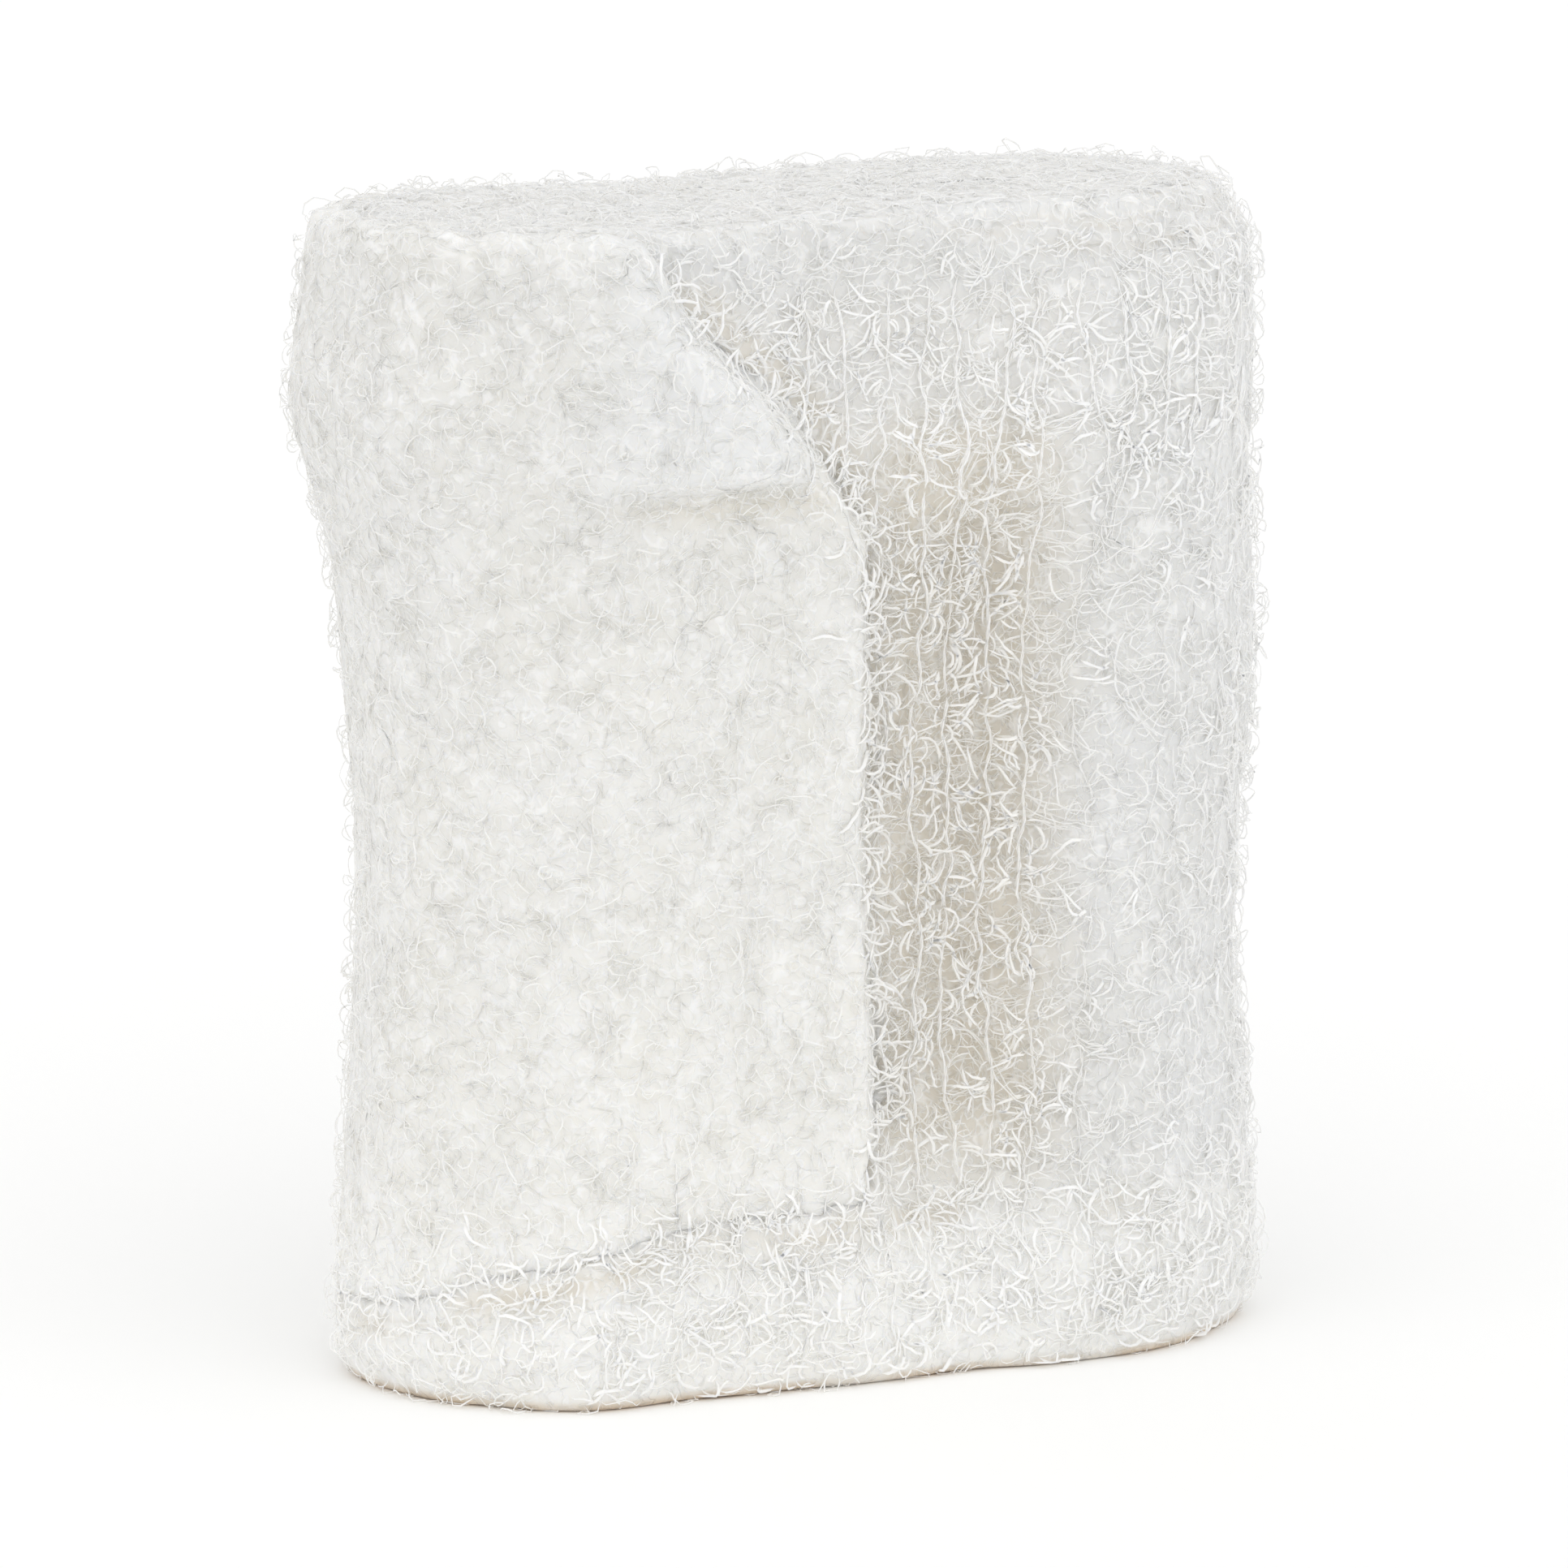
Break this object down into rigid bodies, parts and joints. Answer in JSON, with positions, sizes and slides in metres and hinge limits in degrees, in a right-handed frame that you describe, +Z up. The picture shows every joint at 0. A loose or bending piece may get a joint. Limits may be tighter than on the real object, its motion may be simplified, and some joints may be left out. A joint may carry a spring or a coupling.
{
  "type": "gauze bandage roll",
  "caption": "Flattened roll of fluffed, crimped cotton gauze standing on its end, its loose end lying across the front with one corner turned over.",
  "frame": {"origin": "on the floor, under the middle of the roll's box", "axes": "+Z up along the roll's winding axis, +X along the flat oval's long side, -Y out of the front, where the loose end lies"},
  "size_m": [0.0998, 0.0492, 0.114],
  "materials": {
    "wound_gauze": "matt fluffed cotton gauze, open crimped weave, off-white",
    "loose_gauze": "matt matted cotton fluff over crimped gauze, warm off-white"
  },
  "bodies": {
    "root": {"gauze_roll": "wound_gauze", "loose_end": "loose_gauze"}
  },
  "joints": []
}
